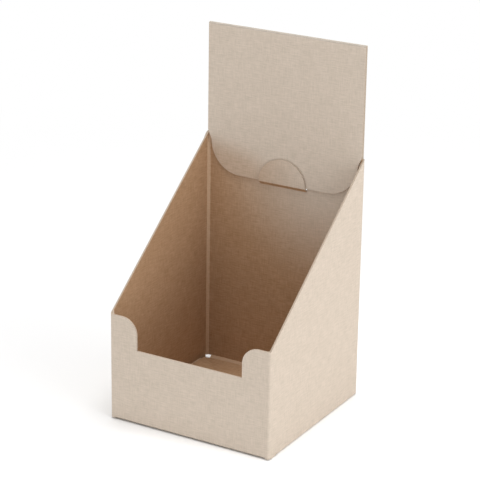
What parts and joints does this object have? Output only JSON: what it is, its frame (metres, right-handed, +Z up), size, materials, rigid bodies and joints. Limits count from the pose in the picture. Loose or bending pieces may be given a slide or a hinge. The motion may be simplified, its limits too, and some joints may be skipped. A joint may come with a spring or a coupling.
{
  "type": "shelf-ready display box",
  "caption": "Open-fronted countertop display box of fluted board: sloping sides, notched front panel, tall folded header held by a half-moon tab, and a crash-lock bottom.",
  "frame": {"origin": "on the shelf, at the middle of the footprint of the four walls", "axes": "+Z up, +Y to the back panel and the header, +X to the right as seen from the front"},
  "size_m": [0.1514, 0.151, 0.3055],
  "materials": {
    "kraft_board": "matt, unprinted kraft liner"
  },
  "bodies": {
    "root": {"carton": "kraft_board"}
  },
  "joints": []
}
